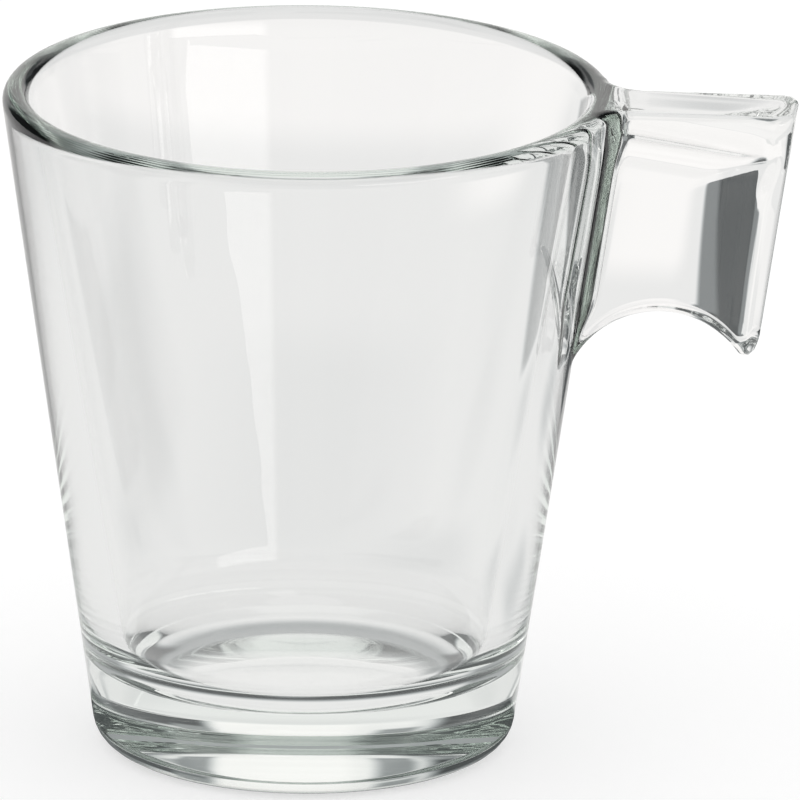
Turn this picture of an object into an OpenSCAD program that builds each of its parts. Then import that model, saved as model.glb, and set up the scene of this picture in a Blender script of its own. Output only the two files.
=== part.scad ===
// Cortado glass: a thick pressed-glass tumbler with a solid pinch handle.
// The cup stands on its foot ring at z = 0, on the Z axis, and the handle points along +X.

/* [Cup] */
// Outer diameter of the rim
rim_d = 68; // [58:0.5:90]
// Height from the foot ring to the top of the lip
cup_h = 75.7; // [66:0.1:100]
// Outer diameter at the foot
foot_d = 47.2; // [40:0.1:56]
// Thickness of the wall at the lip, which is a full round
lip_t = 3; // [2.4:0.1:3.8]
// Radius of the outer corner round the foot
foot_corner_r = 3.4; // [2.2:0.1:5]

/* [Inside] */
// Thickness of the glass under the drink, at the middle
floor_t = 9; // [6:0.1:13]
// Diameter of the flat inner floor
floor_d = 29; // [25:0.5:31]
// Radius of the inner corner between floor and wall
floor_corner_r = 6.4; // [4:0.1:7.5]

/* [Underside] */
// Width of the flat ring that the cup stands on
foot_ring_w = 2.4; // [1.5:0.1:4]
// Depth of the hollow inside the foot ring
hollow_depth = 0.6; // [0.4:0.1:1.6]

/* [Handle] */
// Distance from the wall to the handle's outer end, square to the wall
handle_reach = 20.1; // [17:0.1:24]
// Width across the handle's top
handle_w = 9.8; // [8:0.1:12]
// Height of the handle above the arch, along the wall
handle_h = 22.7; // [18:0.1:28]
// Drop from the lip to the handle's top face
handle_drop = 0.3; // [0.2:0.05:0.8]
// Radius of the finger arch under the handle
arch_r = 11.1; // [10.4:0.1:12]
// Distance from the wall to the middle of the arch
arch_reach = 10.6; // [9.8:0.1:11.4]
// Radius of the tip below the outer end
tip_r = 1.35; // [0.8:0.05:1.8]

/* [Handle sides] */
// Thickness of the web between the two thumb dishes
web_t = 4; // [3:0.1:5.2]
// Distance from the wall to the start of the dish's outer ramp
ramp_start = 9.5; // [8:0.1:11]
// Distance from the wall to the end of the dish's outer ramp
ramp_end = 18.2; // [16.6:0.1:18.6]
// Depth below the top face at which the dish starts
dish_top = 1.2; // [0.8:0.1:2]
// Depth below the top face at which the dish reaches the web
dish_full = 8.4; // [6:0.1:11]
// Radius of the fillet between web and wall
web_fillet_r = 2; // [1.2:0.1:2.6]
// Radius of the fillet between the handle's top and the rim
rim_fillet_r = 3; // [2:0.1:4]

/* [Hidden] */
$fn = 96;

rim_r = rim_d / 2;
foot_r = foot_d / 2;
lip_r = lip_t / 2;
// How far every cut runs past the face that it opens
overrun = lip_t;

// Centres of the lip, the foot's outer corner and the floor's inner corner, as [radius, height]
lip_c = [rim_r - lip_r, cup_h - lip_r];
foot_c = [foot_r - foot_corner_r, foot_corner_r];
floor_c = [floor_d / 2, floor_t + floor_corner_r];

// Lean of a line that touches two circles, from its span and the sum or difference of their radii
function lean(span, radii) = atan2(span[0], span[1]) - asin(radii / norm(span));
// Point of a circle at which its outward normal leans down by an angle
function outer_point(c, r, a) = c + r * [cos(a), -sin(a)];
function inner_point(c, r, a) = c - r * [cos(a), -sin(a)];

outer_lean = lean(lip_c - foot_c, foot_corner_r - lip_r);
inner_lean = lean(lip_c - floor_c, floor_corner_r + lip_r);
lip_outer = outer_point(lip_c, lip_r, outer_lean);
lip_inner = inner_point(lip_c, lip_r, inner_lean);
foot_outer = outer_point(foot_c, foot_corner_r, outer_lean);
floor_outer = outer_point(floor_c, floor_corner_r, inner_lean);

// The hollow under the foot is part of a large sphere
hollow_r = foot_c[0] - foot_ring_w;
hollow_sphere_r = (hollow_r * hollow_r + hollow_depth * hollow_depth) / (2 * hollow_depth);

// Outer radius of the wall, carried on in a straight line, at a height
function wall_r(z) = lip_outer[0] + (z - lip_outer[1]) * tan(outer_lean);

// The handle is built square to the wall: X runs out from it and Z runs up along it
handle_z = cup_h - handle_drop;
handle_x = wall_r(handle_z);
handle_end_r = handle_w / 2;
// The handle's blank starts this far inside the wall, within the glass at every height
handle_root = lip_r;

arch_c = [arch_reach, -handle_h - arch_r];
// The tip's round is a little proud of the outer end, so that the two surfaces cross
tip_inset_share = 0.8;
// The handle's blank reaches this far up and down before its top face and arch are cut
blank_top = handle_reach * tan(outer_lean) + overrun;
blank_drop = handle_h + arch_r + overrun;

// The dish's ramp is an arc that leaves the web at ramp_start and meets the round end at ramp_end
end_c = handle_reach - handle_end_r;
ramp_rise = sqrt(pow(handle_end_r, 2) - pow(ramp_end - end_c, 2)) - web_t / 2;
ramp_run = ramp_end - ramp_start;
ramp_r = (ramp_run * ramp_run + ramp_rise * ramp_rise) / (2 * ramp_rise);
// The dish's upper end is an arc from the web out to the handle's side
dish_rise = (handle_w - web_t) / 2;
dish_run = dish_full - dish_top;
dish_r = (dish_run * dish_run + dish_rise * dish_rise) / (2 * dish_rise);

// How far along the handle a fillet of radius r starts, between the wall and a face at y
function fillet_x(r, y) = sqrt(pow(handle_x + r, 2) - pow(y + r, 2)) - handle_x;

module place_on_wall() {
    translate([handle_x, 0, handle_z]) rotate([0, outer_lean, 0]) children();
}

// Half section of the solid cup, from its axis out to the wall and the round lip
module cup_outline() {
    difference() {
        union() {
            polygon([[0, 0], [foot_c[0], 0], foot_outer, lip_outer, lip_c, [0, lip_c[1]]]);
            translate(foot_c) circle(foot_corner_r);
            translate(lip_c) circle(lip_r);
        }
        translate([0, hollow_depth - hollow_sphere_r]) circle(hollow_sphere_r);
    }
}

// Half section of the space for the drink
module cavity_outline() {
    polygon([[0, floor_t], [floor_c[0], floor_t], floor_outer, lip_inner, [0, lip_inner[1]]]);
    translate(floor_c) circle(floor_corner_r);
}

module cup_body() {
    color("lightcyan", 0.5) rotate_extrude() difference() {
        cup_outline();
        cavity_outline();
    }
}

// Seen from above: straight sides, a half-round end and fillets that widen into the rim
module handle_plan() {
    fillet_c = [fillet_x(rim_fillet_r, handle_end_r), handle_end_r + rim_fillet_r];
    translate([-handle_root, -handle_end_r]) square([handle_root + end_c, handle_w]);
    translate([end_c, 0]) circle(handle_end_r);
    for (side = [0, 1]) mirror([0, side]) difference() {
        translate([-handle_root, 0]) square([handle_root + fillet_c[0], fillet_c[1]]);
        translate(fillet_c) circle(rim_fillet_r);
    }
}

// Seen from the side: the arch, and the round tip between the arch and the outer end
module handle_side() {
    tip_x = handle_reach - tip_r * tip_inset_share;
    tip_z = arch_c[1] + sqrt(pow(arch_r + tip_r, 2) - pow(tip_x - arch_c[0], 2));
    inner_x = -handle_root - overrun;
    outer_x = tip_x + tip_r;
    difference() {
        union() {
            polygon([[inner_x, arch_c[1]], arch_c, [tip_x, tip_z], [outer_x, tip_z],
                     [outer_x, blank_top], [inner_x, blank_top]]);
            translate([tip_x, tip_z]) circle(tip_r);
        }
        translate(arch_c) circle(arch_r);
    }
}

// Seen from above: what a thumb dish takes from the +Y side
module dish_plan() {
    web_y = web_t / 2;
    root_c = [fillet_x(web_fillet_r, web_y), web_y + web_fillet_r];
    translate([root_c[0], web_y]) square([ramp_start - root_c[0], handle_w]);
    translate([-handle_root, root_c[1]]) square([handle_root + ramp_start, handle_w]);
    translate(root_c) circle(web_fillet_r);
    translate([ramp_start, web_y + ramp_r]) circle(ramp_r);
}

// Seen from the end: how the dish's upper end curves out to the handle's side
module dish_end() {
    intersection() {
        union() {
            translate([web_t / 2, -blank_drop]) square([handle_w, blank_drop - dish_full]);
            translate([web_t / 2 + dish_r, -dish_full]) circle(dish_r);
        }
        translate([0, -blank_drop]) square([handle_w, blank_drop - dish_top]);
    }
}

module dish() {
    intersection() {
        place_on_wall() translate([0, 0, -blank_drop])
            linear_extrude(blank_drop + blank_top) dish_plan();
        translate([handle_x - handle_reach, 0, handle_z]) rotate([90, 0, 90])
            linear_extrude(2 * handle_reach) dish_end();
    }
}

module handle() {
    color("lightcyan", 0.5) difference() {
        intersection() {
            place_on_wall() translate([0, 0, -blank_drop])
                linear_extrude(blank_drop + blank_top) handle_plan();
            place_on_wall() rotate([90, 0, 0])
                linear_extrude(2 * handle_w, center = true) handle_side();
            cylinder(h = handle_z, r = rim_r + handle_reach + handle_w);
        }
        rotate_extrude() cup_outline();
        for (side = [0, 1]) mirror([0, side, 0]) dish();
    }
}

cup_body();
handle();
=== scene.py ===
import math

import bmesh
import bpy
import numpy as np
from mathutils import Matrix, Vector


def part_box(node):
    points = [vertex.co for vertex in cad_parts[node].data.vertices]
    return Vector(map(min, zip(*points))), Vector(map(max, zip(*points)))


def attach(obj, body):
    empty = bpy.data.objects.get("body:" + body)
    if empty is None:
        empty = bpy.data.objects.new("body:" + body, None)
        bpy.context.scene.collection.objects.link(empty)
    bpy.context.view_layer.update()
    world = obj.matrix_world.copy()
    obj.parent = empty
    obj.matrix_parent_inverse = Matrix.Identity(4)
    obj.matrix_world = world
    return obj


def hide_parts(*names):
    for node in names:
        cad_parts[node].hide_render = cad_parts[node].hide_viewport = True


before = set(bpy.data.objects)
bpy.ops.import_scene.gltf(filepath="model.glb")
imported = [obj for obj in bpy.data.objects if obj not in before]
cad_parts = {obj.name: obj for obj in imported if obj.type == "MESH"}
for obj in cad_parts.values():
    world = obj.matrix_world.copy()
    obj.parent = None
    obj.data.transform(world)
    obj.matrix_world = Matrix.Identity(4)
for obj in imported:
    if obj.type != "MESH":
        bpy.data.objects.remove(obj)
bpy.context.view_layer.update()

# Cortado glass: a thick pressed-glass tumbler with a solid pinch handle, all one piece of clear glass.
# The cup stands on its foot ring at z = 0 on the Z axis, and the handle points along +X.
MM = 0.001

# The cup's outer sizes come from the frame
cup_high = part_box("cup_body")[1]
RIM_R = cup_high.x
CUP_H = cup_high.z
HANDLE_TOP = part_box("handle")[1].z

# The lip, the floor inside and the foot
LIP_R = 1.5 * MM
FLOOR_T = 9 * MM
FLOOR_R = 14.5 * MM
FLOOR_CORNER_R = 6.4 * MM
FOOT_R = 23.6 * MM
FOOT_CORNER_R = 3.4 * MM
FOOT_RING_W = 2.4 * MM
HOLLOW_DEPTH = 0.6 * MM

# The handle's sizes are taken square to the wall and along it
HANDLE_REACH = 20.1 * MM
HANDLE_W = 9.8 * MM
HANDLE_H = 22.7 * MM
ARCH_R = 11.1 * MM
ARCH_REACH = 10.6 * MM
ARCH_ROOT_DROP = 31.5 * MM
TIP_R = 1.35 * MM
TIP_INSET_SHARE = 0.8
# The half-round end has these smaller corners at the handle's top face, and is round this far below it
TOP_CORNER_R = 2 * MM
TOP_CORNER_END = 9 * MM

# A thumb dish on each side thins the handle to a web, and ends in a ramp outwards and a curve at the top
WEB_T = 4 * MM
RAMP_START = 9.2 * MM
RAMP_END = 18.1 * MM
RAMP_END_LOW = 18.9 * MM
RAMP_EASE = 2.2
DISH_TOP = 1.2 * MM
DISH_FULL = 8.8 * MM
DISH_EASE = 2.6
JOIN_POWER = 4
# The dish's ramps are steep, so its field is scaled to stay close to a true distance
DISH_FIELD_SHARE = 0.85

# Edges are fire-polished round, and fillets lead from the handle into the wall and the rim
DISH_EDGE_R = 0.6 * MM
ARCH_EDGE_R = 0.8 * MM
TOP_EDGE_R = 0.75 * MM
WEB_FILLET_R = 2 * MM
RIM_FILLET_R = 3 * MM
RIM_BLEND = 4 * MM
# Down the arch the fillets shrink by this share, up to this far above its root
ROOT_FADE_SHARE = 0.9
ROOT_END = 3 * MM
# The wall turns from the handle's field to the plain cup's between these angles
JOIN_ANGLE = math.radians(14)
BLEND_ANGLE = math.radians(18)


def lean(span, radii):
    """Lean from the vertical of a line that touches two circles, as an angle."""
    return math.atan2(span[0], span[1]) - math.asin(radii / math.hypot(*span))


# Centres of the lip, the foot's outer corner and the floor's inner corner, as (radius, height)
lip_c = (RIM_R - LIP_R, CUP_H - LIP_R)
foot_c = (FOOT_R - FOOT_CORNER_R, FOOT_CORNER_R)
floor_c = (FLOOR_R, FLOOR_T + FLOOR_CORNER_R)
OUTER_LEAN = lean((lip_c[0] - foot_c[0], lip_c[1] - foot_c[1]), FOOT_CORNER_R - LIP_R)
INNER_LEAN = lean((lip_c[0] - floor_c[0], lip_c[1] - floor_c[1]), FLOOR_CORNER_R + LIP_R)


def outer_r(z):
    """Radius of the outer wall's cone at a height."""
    return lip_c[0] + LIP_R / math.cos(OUTER_LEAN) + (z - lip_c[1]) * math.tan(OUTER_LEAN)


def inner_r(z):
    """Radius of the inner wall's cone at a height."""
    return lip_c[0] - LIP_R / math.cos(INNER_LEAN) + (z - lip_c[1]) * math.tan(INNER_LEAN)


def middle_r(z):
    """Radius of the middle of the wall at a height, and of the lip's middle in the lip."""
    return np.where(z < lip_c[1], (inner_r(z) + outer_r(z)) / 2, lip_c[0])


HANDLE_X = outer_r(HANDLE_TOP)
END_R = HANDLE_W / 2
END_C = HANDLE_REACH - END_R
ARCH_DROP = HANDLE_H + ARCH_R
TIP_OUT = HANDLE_REACH - TIP_R * TIP_INSET_SHARE
TIP_UP = math.sqrt((ARCH_R + TIP_R) ** 2 - (TIP_OUT - ARCH_REACH) ** 2) - ARCH_DROP


def smooth_step(x, start, end):
    """Smooth rise from 0 at the start to 1 at the end."""
    t = np.clip((x - start) / (end - start), 0, 1)
    return t * t * (3 - 2 * t)


def round_and(a, b, r):
    """Distance field of what two fields share, with a convex edge of radius r."""
    return np.minimum(np.maximum(a, b), -r) + np.hypot(np.maximum(a + r, 0), np.maximum(b + r, 0))


def fillet_or(a, b, r):
    """Distance field of two fields joined, with a fillet of radius r in the corner."""
    return np.maximum(np.minimum(a, b), r) - np.hypot(np.maximum(r - a, 0), np.maximum(r - b, 0))


def ease_up(x, run, rise, ease):
    """Height of a slope that starts flat at x = 0 and steepens to its full rise after its run."""
    return rise * np.maximum(x / run, 0) ** ease


def handle_axes(x, z):
    """Distance out from the wall, square to it, and distance up along it, from the rim's corner."""
    dx, dz = x - HANDLE_X, z - HANDLE_TOP
    c, s = math.cos(OUTER_LEAN), math.sin(OUTER_LEAN)
    return dx * c - dz * s, dx * s + dz * c


def handle_half(out, up):
    """Half of the handle's thickness: the web, the ramp at its outer end and the dish's upper end."""
    ramp_end = RAMP_END + (RAMP_END_LOW - RAMP_END) * smooth_step(-up, 0, ARCH_DROP)
    ramp_rise = np.sqrt(END_R ** 2 - (ramp_end - END_C) ** 2) - WEB_T / 2
    ramp = ease_up(out - RAMP_START, ramp_end - RAMP_START, ramp_rise, RAMP_EASE)
    dish = ease_up(up + DISH_FULL, DISH_FULL - DISH_TOP, END_R - WEB_T / 2, DISH_EASE)
    return WEB_T / 2 + (ramp ** JOIN_POWER + dish ** JOIN_POWER) ** (1 / JOIN_POWER)


def arch_field(out, up):
    """Distance field of the handle seen from the side: the arch, and the round tip at its outer end."""
    across, above = out - ARCH_REACH, up + ARCH_DROP
    arch = ARCH_R - np.hypot(across, np.maximum(above, 0))
    past, over = out - TIP_OUT, up - TIP_UP
    tip = np.where(over > 0, past - TIP_R - over, np.hypot(past, over) - TIP_R)
    below_tip = (above * (TIP_OUT - ARCH_REACH) < across * (TIP_UP + ARCH_DROP)) & (across > 0)
    return np.where(np.where(over > 0, past > 0, below_tip), tip, arch)


def plan_field(out, up, side):
    """Distance field of the handle seen from above: its flat sides and its round or squarer end."""
    corner_r = TOP_CORNER_R + (END_R - TOP_CORNER_R) * smooth_step(-up, DISH_TOP, TOP_CORNER_END)
    past, over = out - HANDLE_REACH + corner_r, side - END_R + corner_r
    corner = np.hypot(np.maximum(past, 0), np.maximum(over, 0))
    return corner + np.minimum(np.maximum(past, over), 0) - corner_r


def handle_field(x, y, z):
    """Distance field of the handle alone, without its top face, negative inside the glass."""
    out, up = handle_axes(x, z)
    side = np.abs(y)
    dish = (side - handle_half(out, up)) * DISH_FIELD_SHARE
    body = round_and(plan_field(out, up, side), dish, DISH_EDGE_R)
    body = round_and(body, arch_field(out, up), ARCH_EDGE_R)
    return np.maximum(body, -ARCH_ROOT_DROP - up)


def glass_field(p):
    """Distance field of the wall, the lip and the handle together, negative inside the glass."""
    x, y, z = p[:, 0], p[:, 1], p[:, 2]
    r = np.hypot(x, y)
    up = handle_axes(x, z)[1]
    wall = (r - outer_r(z)) * math.cos(OUTER_LEAN)
    cavity = (inner_r(z) - r) * math.cos(INNER_LEAN)
    past, over = r - lip_c[0], z - lip_c[1]
    in_lip = (over > -past * math.tan(OUTER_LEAN)) & (over > past * math.tan(INNER_LEAN))
    cup = np.where(in_lip, np.hypot(past, over) - LIP_R, np.maximum(wall, cavity))

    fillet_r = RIM_FILLET_R + (WEB_FILLET_R - RIM_FILLET_R) * smooth_step(-up, DISH_TOP, DISH_FULL)
    fillet_r = fillet_r * (1 - ROOT_FADE_SHARE * smooth_step(-up, HANDLE_H, ARCH_ROOT_DROP - ROOT_END))
    outside = fillet_or(wall, handle_field(x, y, z), fillet_r)
    past_rim = smooth_step(r, RIM_R - LIP_R / 2, RIM_R + RIM_BLEND)
    top = z - CUP_H + (CUP_H - HANDLE_TOP) * past_rim
    outside = round_and(outside, top, LIP_R + (TOP_EDGE_R - LIP_R) * past_rim)
    joined = round_and(outside, cavity, LIP_R)
    turn = np.abs(np.arctan2(y, x))
    return joined + (cup - joined) * smooth_step(turn, JOIN_ANGLE, BLEND_ANGLE)


# Distance to each side over which the field's slope is read, and the least square of a slope to move by
PROBE = 1e-6
LEAST_SQUARE = 1e-6


def gradient(p):
    """Slope of the glass field at each point."""
    slopes = []
    for axis in range(3):
        shift = np.zeros(3)
        shift[axis] = PROBE
        slopes.append((glass_field(p + shift) - glass_field(p - shift)) / (2 * PROBE))
    return np.stack(slopes, axis=1)


def settle(p, rounds):
    """Move each point straight onto the surface of the glass."""
    for _ in range(rounds):
        g = gradient(p)
        p = p - (glass_field(p) / np.maximum((g * g).sum(1), LEAST_SQUARE))[:, None] * g
    return p


# Points from the middle of the hollow to its edge
HOLLOW_POINTS = 15
# Steps in a quarter turn of a rounded corner, and the fewest in any corner
ARC_STEPS = 8
LEAST_ARC_STEPS = 4
# The wall has finer rows above this height, where the handle grows out of it
GRIP_LOW = 41 * MM
# Two points of the section this close are the same one
SAME_PLACE = 1e-8


def round_corner(last, corner, following, rounding):
    """Arc round a corner of the half section, between the point before it and the point that follows."""
    before = (last - corner).normalized()
    after = (following - corner).normalized()
    half = before.angle(after) / 2
    centre = corner + (before + after).normalized() * rounding / math.sin(half)
    start = corner + before * rounding / math.tan(half) - centre
    sweep = math.pi - 2 * half
    turn = math.copysign(sweep, before.cross(after))
    count = max(LEAST_ARC_STEPS, round(ARC_STEPS * sweep / (math.pi / 2)))
    arc = []
    for k in range(count + 1):
        a = -turn * k / count
        spun = Vector((start.x * math.cos(a) - start.y * math.sin(a),
                       start.x * math.sin(a) + start.y * math.cos(a)))
        arc.append(centre + spun)
    return arc


def section():
    """Half section of the cup, as (radius, height) points from the hollow's middle to the floor's."""
    hollow_r = foot_c[0] - FOOT_RING_W
    hollow_ball_r = (hollow_r ** 2 + HOLLOW_DEPTH ** 2) / (2 * HOLLOW_DEPTH)
    points = []
    for r in np.linspace(0, hollow_r, HOLLOW_POINTS):
        points.append((r, HOLLOW_DEPTH - hollow_ball_r + math.sqrt(hollow_ball_r ** 2 - r * r)))
    # Each corner is (radius, height, rounding, steps on the stretch before it)
    corners = [
        (outer_r(0), 0, FOOT_CORNER_R, 3),
        (outer_r(GRIP_LOW), GRIP_LOW, 0, 16),
        (outer_r(CUP_H), CUP_H, LIP_R, 64),
        (inner_r(CUP_H), CUP_H, LIP_R, 1),
        (inner_r(FLOOR_T), FLOOR_T, FLOOR_CORNER_R, 40),
        (0, FLOOR_T, 0, 12),
    ]
    for i, (r, z, rounding, steps) in enumerate(corners):
        last, corner = Vector(points[-1]), Vector((r, z))
        arc = [corner]
        if rounding:
            arc = round_corner(last, corner, Vector(corners[i + 1][:2]), rounding)
        if (arc[0] - last).length > SAME_PLACE:
            points += [tuple(last.lerp(arc[0], k / steps)) for k in range(1, steps + 1)]
        points += [tuple(q) for q in arc[1:]]
    return points


def add(tree, kind, links=None, **settings):
    """A node in a tree, with its settings and what its inputs hold or take."""
    node = tree.nodes.new(kind)
    for name, value in settings.items():
        setattr(node, name, value)
    for socket, source in (links or {}).items():
        if isinstance(source, bpy.types.NodeSocket):
            tree.links.new(source, node.inputs[socket])
        else:
            node.inputs[socket].default_value = source
    return node


def calc(tree, operation, *values):
    """One Math node's result."""
    return add(tree, "ShaderNodeMath", dict(enumerate(values)), operation=operation).outputs[0]


def name_sockets(tree, inputs, outputs):
    """Give a node group its inputs and outputs, each a name and its kind."""
    for in_out, sockets in (("INPUT", inputs), ("OUTPUT", outputs)):
        for name, kind in sockets.items():
            tree.interface.new_socket(name, in_out=in_out, socket_type=kind)


# Points closer than this on the turned cup are one point, as at its poles
TURNED_MERGE = 1e-6


def turned_cup_tree():
    """Geometry nodes that turn a half section about Z into one closed skin of glass."""
    tree = bpy.data.node_groups.new("turned cup", "GeometryNodeTree")
    name_sockets(tree, {
        "Half Section": "NodeSocketGeometry",
        "Columns": "NodeSocketInt",
        "Gather At Handle": "NodeSocketFloat",
        "Glass": "NodeSocketMaterial",
    }, {"Cup": "NodeSocketGeometry"})
    given = add(tree, "NodeGroupInput").outputs
    half_section, columns = given["Half Section"], given["Columns"]

    # A flat grid has one row for each point of the section, and one column more than the cup
    size = add(tree, "GeometryNodeAttributeDomainSize", {"Geometry": half_section})
    rows, stops = size.outputs["Point Count"], calc(tree, "ADD", columns, 1)
    grid = add(tree, "GeometryNodeMeshGrid", {"Vertices X": rows, "Vertices Y": stops})
    index = add(tree, "GeometryNodeInputIndex").outputs["Index"]
    row = calc(tree, "FLOOR", calc(tree, "DIVIDE", calc(tree, "ADD", index, 0.5), stops))
    column = calc(tree, "SUBTRACT", index, calc(tree, "MULTIPLY", row, stops))

    # The columns crowd together at the handle
    turn = calc(tree, "MULTIPLY", calc(tree, "DIVIDE", column, columns), math.tau)
    gather = calc(tree, "MULTIPLY", calc(tree, "SINE", turn), given["Gather At Handle"])
    angle = calc(tree, "SUBTRACT", turn, gather)

    # Each row takes its point of the section, turned to the column's angle
    place = add(tree, "GeometryNodeInputPosition").outputs["Position"]
    picked = add(tree, "GeometryNodeSampleIndex", {
        "Geometry": half_section, "Value": place, "Index": row,
    }, data_type="FLOAT_VECTOR", domain="POINT")
    point = add(tree, "ShaderNodeSeparateXYZ", {0: picked.outputs["Value"]}).outputs
    turned = add(tree, "ShaderNodeCombineXYZ", {
        "X": calc(tree, "MULTIPLY", point["X"], calc(tree, "COSINE", angle)),
        "Y": calc(tree, "MULTIPLY", point["X"], calc(tree, "SINE", angle)),
        "Z": point["Z"],
    }).outputs[0]
    # The grid takes that shape, closes along its seam and at its poles, and turns to smooth glass
    shape = grid.outputs["Mesh"]
    for kind, links in (
        ("GeometryNodeSetPosition", {"Position": turned}),
        ("GeometryNodeMergeByDistance", {"Distance": TURNED_MERGE}),
        ("GeometryNodeSetShadeSmooth", {}),
        ("GeometryNodeRealizeInstances", {}),
        ("GeometryNodeSetMaterial", {"Material": given["Glass"]}),
    ):
        shape = add(tree, kind, {"Geometry": shape, **links}).outputs[0]
    add(tree, "NodeGroupOutput", {"Cup": shape})
    return tree


COLUMNS = 240
GATHER = 0.5
# Columns from the handle's middle to each edge of the patch that it grows out of
GRIP_COLUMNS = 13


def column_angle(j):
    """Angle of a column of the turned cup, counted from the handle's middle."""
    turn = math.tau * j / COLUMNS
    return turn - GATHER * math.sin(turn)


PATCH_ANGLE = column_angle(GRIP_COLUMNS)


def turned_cup(points, glass):
    """The cup as one closed mesh, turned from its half section by the geometry nodes."""
    outline = bpy.data.meshes.new("half section")
    edges = [(i, i + 1) for i in range(len(points) - 1)]
    outline.from_pydata([(r, 0, z) for r, z in points], edges, [])
    blank = bpy.data.objects.new("half section", outline)
    bpy.context.collection.objects.link(blank)
    modifier = blank.modifiers.new("turn", "NODES")
    tree = turned_cup_tree()
    modifier.node_group = tree
    values = {"Columns": COLUMNS, "Gather At Handle": GATHER, "Glass": glass}
    for item in tree.interface.items_tree:
        if item.in_out == "INPUT" and item.name in values:
            modifier[item.identifier] = values[item.name]
    bpy.context.view_layer.update()
    graph = bpy.context.evaluated_depsgraph_get()
    mesh = bpy.data.meshes.new_from_object(blank.evaluated_get(graph))
    mesh.name = "glass"
    blank.modifiers.remove(modifier)
    bpy.data.objects.remove(blank)
    return mesh


# The handle's skin starts at this height on the wall, and has this many steps out to its end
GRIP_ROOT_Z = 44.7 * MM
GRIP_STEPS = 48
# The points across the end are spread over this angle to each side of its middle
END_SPREAD = math.pi / 4
# The steps out are shorter near the wall, and bow towards the round end late
STEP_EASE = 0.8
END_EASE = 3
# The skin narrows from the patch's width to the handle's within a few times this distance
ROOT_REACH = 1.2 * MM


def handle_skin(points):
    """The handle's skin, grown out of a patch of the cup's wall, as points and four-cornered faces.
    k counts out from the wall, i up from the arch to the lip's crest, and j across."""
    crest = max(range(len(points)), key=lambda n: points[n][1])
    first = next(n for n, q in enumerate(points) if q[0] > FOOT_R and q[1] > GRIP_ROOT_Z)
    rows = points[first:crest + 1]
    top = len(rows) - 1
    straight = sum(1 for q in rows if q[1] < points[crest][1] - LIP_R) - 1
    corner_out = END_C + END_R * math.cos(END_SPREAD)
    wall_side = math.sin(PATCH_ANGLE)
    c, s = math.cos(OUTER_LEAN), math.sin(OUTER_LEAN)

    def arch_up(out):
        reach = min(out, TIP_OUT) - ARCH_REACH
        return math.sqrt(max(ARCH_R ** 2 - reach ** 2, 0)) - ARCH_DROP

    def place(k, i, j):
        r, z = rows[i]
        if k == 0:
            angle = column_angle(j)
            return r * math.cos(angle), r * math.sin(angle), z
        share, t = k / GRIP_STEPS, j / GRIP_COLUMNS
        side_out = corner_out * (share ** 2 + STEP_EASE * share) / (1 + STEP_EASE)
        end_out = END_C + END_R * math.cos(t * END_SPREAD)
        out = side_out + (end_out - corner_out) * share ** END_EASE
        low, high = arch_up(out), out * math.tan(OUTER_LEAN)
        if i <= straight:
            up = low + (high - TOP_EDGE_R - low) * i / straight
            inset = 0
        else:
            a = (i - straight) / (top - straight) * math.pi / 2
            up = high - TOP_EDGE_R * (1 - math.sin(a))
            inset = TOP_EDGE_R * (1 - math.cos(a))
        round_half = math.sqrt(END_R ** 2 - max(side_out - END_C, 0) ** 2)
        half = min(float(handle_half(side_out, up)), round_half) - inset
        half += (r * wall_side - half) * math.exp(-side_out / ROOT_REACH)
        bowed = math.sin(t * END_SPREAD) / math.sin(END_SPREAD)
        y = half * (t + (bowed - t) * share)
        return HANDLE_X + out * c + up * s, y, HANDLE_TOP - out * s + up * c

    numbers, places, faces = {}, [], []

    def number(spot):
        if spot not in numbers:
            numbers[spot] = len(places)
            places.append(place(*spot))
        return numbers[spot]

    def add_face(order, *spots):
        faces.append([number(spot) for spot in spots][::order])

    for k in range(GRIP_STEPS):
        for i in range(top):
            for j, order in ((-GRIP_COLUMNS, 1), (GRIP_COLUMNS, -1)):
                add_face(order, (k, i, j), (k + 1, i, j), (k + 1, i + 1, j), (k, i + 1, j))
        for j in range(-GRIP_COLUMNS, GRIP_COLUMNS):
            for i, order in ((0, -1), (top, 1)):
                add_face(order, (k, i, j), (k + 1, i, j), (k + 1, i, j + 1), (k, i, j + 1))
    k = GRIP_STEPS
    for i in range(top):
        for j in range(-GRIP_COLUMNS, GRIP_COLUMNS):
            add_face(1, (k, i, j), (k, i, j + 1), (k, i + 1, j + 1), (k, i + 1, j))
    return places, faces, rows[0][1]


# Points closer than this where the handle's skin meets the wall are one point
GRAFT_MERGE = 2e-6


def graft_handle(mesh, points):
    """Swap the patch of wall behind the handle for the handle's skin, and give its lowest height."""
    places, faces, low_z = handle_skin(points)
    build = bmesh.new()
    build.from_mesh(mesh)
    patch = []
    for f in build.faces:
        c = f.calc_center_median()
        outside = math.hypot(c.x, c.y) > middle_r(c.z)
        if outside and c.z > low_z and abs(math.atan2(c.y, c.x)) < PATCH_ANGLE:
            patch.append(f)
    bmesh.ops.delete(build, geom=patch, context="FACES")
    new = [build.verts.new(q) for q in places]
    for quad in faces:
        build.faces.new([new[n] for n in quad])
    bmesh.ops.remove_doubles(build, verts=build.verts, dist=GRAFT_MERGE)
    bmesh.ops.recalc_face_normals(build, faces=build.faces)
    for f in build.faces:
        f.smooth = True
        f.material_index = 0
    build.to_mesh(mesh)
    build.free()
    # The turned cup has an empty slot before its glass
    mesh.materials.pop(index=0)
    return low_z


# Points more than this outside the wall are the handle's
OFF_WALL = LIP_R / 10
# The wall's points are let go from this far below the handle's skin
BLEND_DROP = 3 * MM
# Rounds of spreading the points, the share of the way that each moves, and rounds of settling after
RELAX_ROUNDS = 120
RELAX_SHARE = 0.5
SETTLE_ROUNDS = 4


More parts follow.
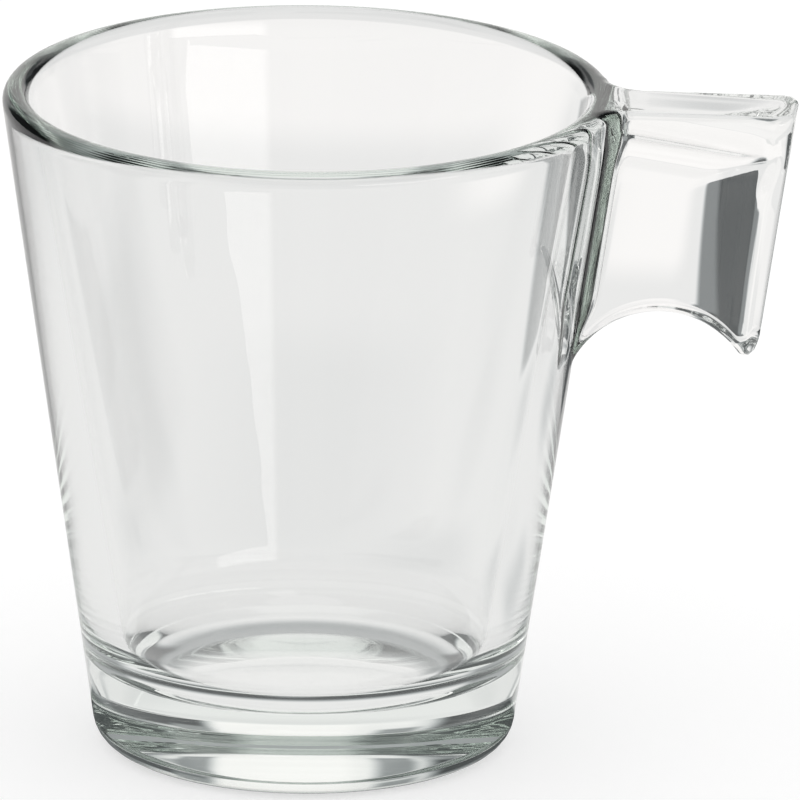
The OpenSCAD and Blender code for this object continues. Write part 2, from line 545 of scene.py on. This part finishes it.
def settle_handle(mesh, low_z):
    """Spread the points of the handle and the wall near it evenly over the surface of the glass."""
    count = len(mesh.vertices)
    p = np.empty(count * 3)
    mesh.vertices.foreach_get("co", p)
    p = p.reshape(-1, 3)
    ends = np.empty(len(mesh.edges) * 2, int)
    mesh.edges.foreach_get("vertices", ends)
    ends = ends.reshape(-1, 2)

    r, z = np.hypot(p[:, 0], p[:, 1]), p[:, 2]
    turn = np.abs(np.arctan2(p[:, 1], p[:, 0]))
    near = smooth_step(turn, BLEND_ANGLE, PATCH_ANGLE) * smooth_step(z, low_z - BLEND_DROP, low_z)
    near = np.where(r > outer_r(z) + OFF_WALL, 1, near) * (r > middle_r(z))
    free = np.flatnonzero(near > 0)

    degree = np.bincount(ends.ravel(), minlength=count)
    ends = ends[(near[ends] > 0).any(1)]
    for _ in range(RELAX_ROUNDS):
        g = gradient(p[free])
        steep = np.linalg.norm(g, axis=1)[:, None]
        g /= steep
        p[free] -= glass_field(p[free])[:, None] / steep * g
        total = np.zeros_like(p)
        for axis in range(3):
            total[:, axis] += np.bincount(ends[:, 0], p[ends[:, 1], axis], count)
            total[:, axis] += np.bincount(ends[:, 1], p[ends[:, 0], axis], count)
        pull = total[free] / degree[free, None] - p[free]
        pull -= (pull * g).sum(1)[:, None] * g
        p[free] += pull * (near[free] * RELAX_SHARE)[:, None]
    p[free] = settle(p[free], SETTLE_ROUNDS)
    mesh.vertices.foreach_set("co", p.astype(np.float32).ravel())
    mesh.update()


# Fire polish leaves slow, faint waves
WAVES_PER_METRE = 45
WAVE_DETAIL = 2.0
WAVE_ROUGHNESS = 0.4
WAVE_STRENGTH = 0.02
WAVE_HEIGHT = 1 * MM


def polish_group():
    """Faint waves of fire-polished pressed glass, as a height."""
    group = bpy.data.node_groups.new("fire polish", "ShaderNodeTree")
    name_sockets(group, {
        "Place": "NodeSocketVector",
        "Waves": "NodeSocketFloat",
    }, {"Height": "NodeSocketFloat"})
    given = add(group, "NodeGroupInput").outputs
    waves = add(group, "ShaderNodeTexNoise", {
        "Vector": given["Place"], "Scale": given["Waves"],
        "Detail": WAVE_DETAIL, "Roughness": WAVE_ROUGHNESS,
    })
    add(group, "NodeGroupOutput", {"Height": waves.outputs["Fac"]})
    return group


WHITE = (1, 1, 1, 1)
GLASS_IOR = 1.52
# Light that crosses thick glass turns faintly green
GLASS_TINT = (0.80, 0.94, 0.83, 1)
TINT_DENSITY = 4.5


def clear_glass():
    """Clear soda-lime glass, faintly green where it is thick."""
    glass = bpy.data.materials.new("pressed glass")
    glass.use_nodes = True
    tree = glass.node_tree
    tree.nodes.clear()
    spot = add(tree, "ShaderNodeTexCoord").outputs["Object"]
    polish = add(tree, "ShaderNodeGroup", {
        "Place": spot, "Waves": WAVES_PER_METRE,
    }, node_tree=polish_group())
    bump = add(tree, "ShaderNodeBump", {
        "Height": polish.outputs["Height"], "Strength": WAVE_STRENGTH, "Distance": WAVE_HEIGHT,
    })
    body = add(tree, "ShaderNodeBsdfPrincipled", {
        "Base Color": WHITE, "Roughness": 0.0, "IOR": GLASS_IOR,
        "Transmission Weight": 1.0, "Normal": bump.outputs["Normal"],
    })
    tint = add(tree, "ShaderNodeVolumeAbsorption", {"Color": GLASS_TINT, "Density": TINT_DENSITY})
    add(tree, "ShaderNodeOutputMaterial", {"Surface": body.outputs[0], "Volume": tint.outputs[0]})
    return glass


def glass_piece():
    """The whole object: the cup and its handle, one seamless piece of glass."""
    points = section()
    mesh = turned_cup(points, clear_glass())
    settle_handle(mesh, graft_handle(mesh, points))
    piece = bpy.data.objects.new("cortado_glass", mesh)
    bpy.context.collection.objects.link(piece)
    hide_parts("cup_body", "handle")
    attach(piece, "root")


# The camera stands far off with a long lens, a little above the glass and turned towards its handle
CAMERA_REACH = 3.0
CAMERA_UP = math.radians(17.18)
CAMERA_TURN = math.radians(5)
CAMERA_ROLL = math.radians(0.49)
CAMERA_SEES = 50.0
AIM_SIDE = 10.48 * MM
AIM_UP = 39.5 * MM
LENS = 1211.1
SENSOR_W = 36


def make_camera():
    """The camera at the photograph's angle, with the handle a little towards it."""
    camera = bpy.data.objects.new("camera", bpy.data.cameras.new("camera"))
    bpy.context.collection.objects.link(camera)
    c, s = math.cos(CAMERA_TURN), math.sin(CAMERA_TURN)
    aim = Vector((AIM_SIDE * c, AIM_SIDE * s, AIM_UP))
    back = Vector((s * math.cos(CAMERA_UP), -c * math.cos(CAMERA_UP), math.sin(CAMERA_UP)))
    look = (-back).to_track_quat("-Z", "Y").to_matrix().to_4x4()
    roll = Matrix.Rotation(CAMERA_ROLL, 4, "Z")
    camera.matrix_world = Matrix.Translation(aim + back * CAMERA_REACH) @ look @ roll
    camera.data.lens = LENS
    camera.data.sensor_width = SENSOR_W
    camera.data.clip_end = CAMERA_SEES
    bpy.context.scene.camera = camera


DEGREE = math.pi / 180
WARM_LIGHT = (1.0, 0.982, 0.97, 1)
COOL_SHADE = (0.90, 0.98, 1.0, 1)

# Soft patches of light and shade in the studio, seen only in and through the glass. Each is laid over
# those before it, and has a name, a place and half width one way, a place and half width the other way,
# the width of its soft edge, and its brightness.
# In the sky, in degrees: bearing to the right of the camera's line of sight, then elevation.
SKY_BASE = 0.30
SKY_PATCHES = [
    ("dark ceiling", 0, 180, 58, 21, 6, 0.09),
    ("bright ceiling straight above", 0, 180, 90, 13, 4, 0.75),
    ("upper backdrop", 4, 46, 66, 10, 8, 0.80),
    ("bright ceiling over the camera", 152, 16, 71, 7, 6, 0.95),
    ("backdrop", 4, 34, 14, 32, 20, 0.92),
    ("dark room over the camera", 180, 92, 36, 20, 12, 0.08),
    ("room behind the camera, low", 180, 92, 0, 6, 6, 0.72),
    ("window behind the camera", 142, 20, 2, 5, 5, 2.8),
    ("dark screen on the left", -52, 22, 4, 18, 8, 0.07),
    ("dark screen on the right", 44, 26, 2, 16, 8, 0.10),
    ("dark left edge of the backdrop", -20, 5, 18, 8, 5, 0.34),
    ("dark right edge of the backdrop", 24, 5, 18, 8, 5, 0.34),
    ("shade past the right screen", 74, 18, 10, 14, 10, 0.24),
    ("bright gap between the screens", 4, 14, 14, 24, 6, 1.0),
]
# The table only glows: its lit parts, shade and dark patches are painted into that glow.
# On the table, in millimetres from the axis: along X to the right, then along Y away from the camera.
TABLE_BASE = 0.84
TABLE_PATCHES = [
    ("far table on the right", 900, 640, 500, 440, 120, 0.45),
    ("lit sheet behind", -35, 105, 2600, 2405, 24, 0.94),
    ("sheet under the glass", 0, 60, 65, 160, 20, 0.84),
    ("middle of the sheet", -8, 16, 100, 40, 30, 0.79),
    ("shade on the left", -205, 55, 80, 45, 60, 0.38),
    ("lit table on the far left", -300, 70, -40, 60, 60, 0.95),
    ("shade in front on the left", -110, 60, -200, 30, 50, 0.48),
    ("table on the right", 250, 90, 100, 110, 60, 0.42),
    # The next three rows are dark patches painted into the table's glow, the last a lit edge of one.
    ("small dark patch on the left", -98, 32, -38, 22, 16, 0.15),
    ("dark patch on the right", 118, 66, 168, 62, 8, 0.09),
    ("lit edge of the dark patch", 61, 9, 168, 62, 8, 0.23),
    ("shade behind the glass on the left", -42, 9, 57, 7, 26, 0.77),
    ("shade behind the glass, far right", 62, 8, 84, 12, 16, 0.55),
    ("shade behind the glass on the right", 16, 10, 62, 8, 14, 0.76),
    ("lit strip behind the handle", 24, 10, 274, 90, 16, 0.97),
    # Painted shadow of the handle on the table.
    ("shade of the handle", 43, 6, 37, 12, 12, 0.60),
]
# Painted shadow of the glass's foot on the table.
# Under the foot, in millimetres from the axis: outwards all round, then along Y away from the camera.
FOOT_PATCHES = [
    ("shade of the foot, behind", 19, 4, 13, 14, 4, 0.38),
    ("shade round the foot", 26.5, 6.5, -6, 17, 3, 0.08),
]


def patch_group():
    """A soft-edged patch laid over a level: the level inside the patch, and what came in outside it."""
    group = bpy.data.node_groups.new("soft patch", "ShaderNodeTree")
    names = ("Base", "Along", "Across", "Half Along", "Half Across", "Edge", "Level")
    name_sockets(group, dict.fromkeys(names, "NodeSocketFloat"), {"Result": "NodeSocketFloat"})
    given = add(group, "NodeGroupInput").outputs
    sides = []
    for distance, half in (("Along", "Half Along"), ("Across", "Half Across")):
        past = calc(group, "SUBTRACT", calc(group, "ABSOLUTE", given[distance]), given[half])
        # The soft edge lies half inside the patch and half outside it
        side = add(group, "ShaderNodeMapRange", {
            "Value": calc(group, "DIVIDE", past, given["Edge"]),
            "From Min": 0.5, "From Max": -0.5, "To Min": 0.0, "To Max": 1.0,
        }, interpolation_type="SMOOTHSTEP")
        sides.append(side.outputs["Result"])
    mask = calc(group, "MULTIPLY", *sides)
    change = calc(group, "MULTIPLY", calc(group, "SUBTRACT", given["Level"], given["Base"]), mask)
    add(group, "NodeGroupOutput", {"Result": calc(group, "ADD", given["Base"], change)})
    return group


def lay_patches(tree, group, base, patches, along, across, unit, wrap=False):
    """Lay each patch over the last in a shader tree, and give the last one's result."""
    level = base
    for _, at_along, half_along, at_across, half_across, edge, bright in patches:
        offset = calc(tree, "SUBTRACT", along, at_along * unit)
        if wrap:
            offset = calc(tree, "WRAP", offset, math.pi, -math.pi)
        level = add(tree, "ShaderNodeGroup", {
            "Base": level,
            "Along": offset,
            "Across": calc(tree, "SUBTRACT", across, at_across * unit),
            "Half Along": half_along * unit,
            "Half Across": half_across * unit,
            "Edge": edge * unit,
            "Level": bright,
        }, node_tree=group).outputs["Result"]
    return level


def studio_colour(tree, level):
    """The studio's colour at a level, warm where it is bright and cool where it is dark."""
    hue = add(tree, "ShaderNodeMix", {
        "Factor": level, "A": COOL_SHADE, "B": WARM_LIGHT,
    }, data_type="RGBA")
    return hue.outputs["Result"]


def studio_in_glass(tree, plain, studio):
    """A shader that is plain to the camera, and shows the studio in and through the glass."""
    path = add(tree, "ShaderNodeLightPath").outputs
    in_glass = calc(tree, "ADD", path["Is Glossy Ray"], path["Is Transmission Ray"])
    in_glass.node.use_clamp = True
    mix = add(tree, "ShaderNodeMixShader", {0: in_glass, 1: plain.outputs[0], 2: studio.outputs[0]})
    return mix.outputs[0]


def make_world(group):
    """White for the camera, and the studio's soft light and dark screens in and through the glass."""
    world = bpy.data.worlds.new("studio")
    bpy.context.scene.world = world
    world.use_nodes = True
    tree = world.node_tree
    tree.nodes.clear()
    spot = add(tree, "ShaderNodeTexCoord").outputs["Generated"]
    way = add(tree, "ShaderNodeSeparateXYZ", {0: spot}).outputs
    turn = calc(tree, "ARCTAN2", way["Y"], way["X"])
    bearing = calc(tree, "SUBTRACT", CAMERA_TURN + math.pi / 2, turn)
    elevation = calc(tree, "ARCSINE", way["Z"])
    level = lay_patches(tree, group, SKY_BASE, SKY_PATCHES, bearing, elevation, DEGREE, wrap=True)
    room = add(tree, "ShaderNodeBackground", {"Color": studio_colour(tree, level), "Strength": level})
    white = add(tree, "ShaderNodeBackground", {"Color": WHITE, "Strength": 1.0})
    add(tree, "ShaderNodeOutputWorld", {"Surface": studio_in_glass(tree, white, room)})


FLOOR_SIZE = 40.0
# The floor's grey and its glow add up to white, and the glass's shadow dims only the grey
FLOOR_GREY = (0.5, 0.5, 0.5, 1)
FLOOR_GLOW = 0.55


def make_floor(group):
    """A plain pale floor with the glass's shadow, seen in the glass as a table with painted light and
    shade.
    """
    mesh = bpy.data.meshes.new("floor")
    half = FLOOR_SIZE / 2
    corners = [(-half, -half, 0), (half, -half, 0), (half, half, 0), (-half, half, 0)]
    mesh.from_pydata(corners, [], [(0, 1, 2, 3)])
    floor = bpy.data.objects.new("floor", mesh)
    bpy.context.collection.objects.link(floor)
    paint = bpy.data.materials.new("pale table")
    paint.use_nodes = True
    tree = paint.node_tree
    tree.nodes.clear()
    place = add(tree, "ShaderNodeTexCoord").outputs["Object"]
    spot = add(tree, "ShaderNodeSeparateXYZ", {0: place}).outputs
    level = lay_patches(tree, group, TABLE_BASE, TABLE_PATCHES, spot["X"], spot["Y"], MM)
    squares = [calc(tree, "MULTIPLY", spot[axis], spot[axis]) for axis in "XY"]
    reach = calc(tree, "SQRT", calc(tree, "ADD", *squares))
    level = lay_patches(tree, group, level, FOOT_PATCHES, reach, spot["Y"], MM)
    # The glass sees the table as glow, with its painted light and shade.
    table = add(tree, "ShaderNodeEmission", {"Color": studio_colour(tree, level), "Strength": level})
    sheet = add(tree, "ShaderNodeBsdfDiffuse", {"Color": FLOOR_GREY})
    glow = add(tree, "ShaderNodeEmission", {"Color": WHITE, "Strength": FLOOR_GLOW})
    pale = add(tree, "ShaderNodeAddShader", {0: sheet.outputs[0], 1: glow.outputs[0]})
    add(tree, "ShaderNodeOutputMaterial", {"Surface": studio_in_glass(tree, pale, table)})
    mesh.materials.append(paint)


# Light that thick glass turns back inside itself needs many bounces to come out again
BOUNCES = 24

bpy.context.scene.view_settings.view_transform = "Standard"
bpy.context.scene.cycles.max_bounces = BOUNCES
bpy.context.scene.cycles.transmission_bounces = BOUNCES
bpy.context.scene.cycles.glossy_bounces = BOUNCES
glass_piece()
make_camera()
soft_patch = patch_group()
make_world(soft_patch)
make_floor(soft_patch)
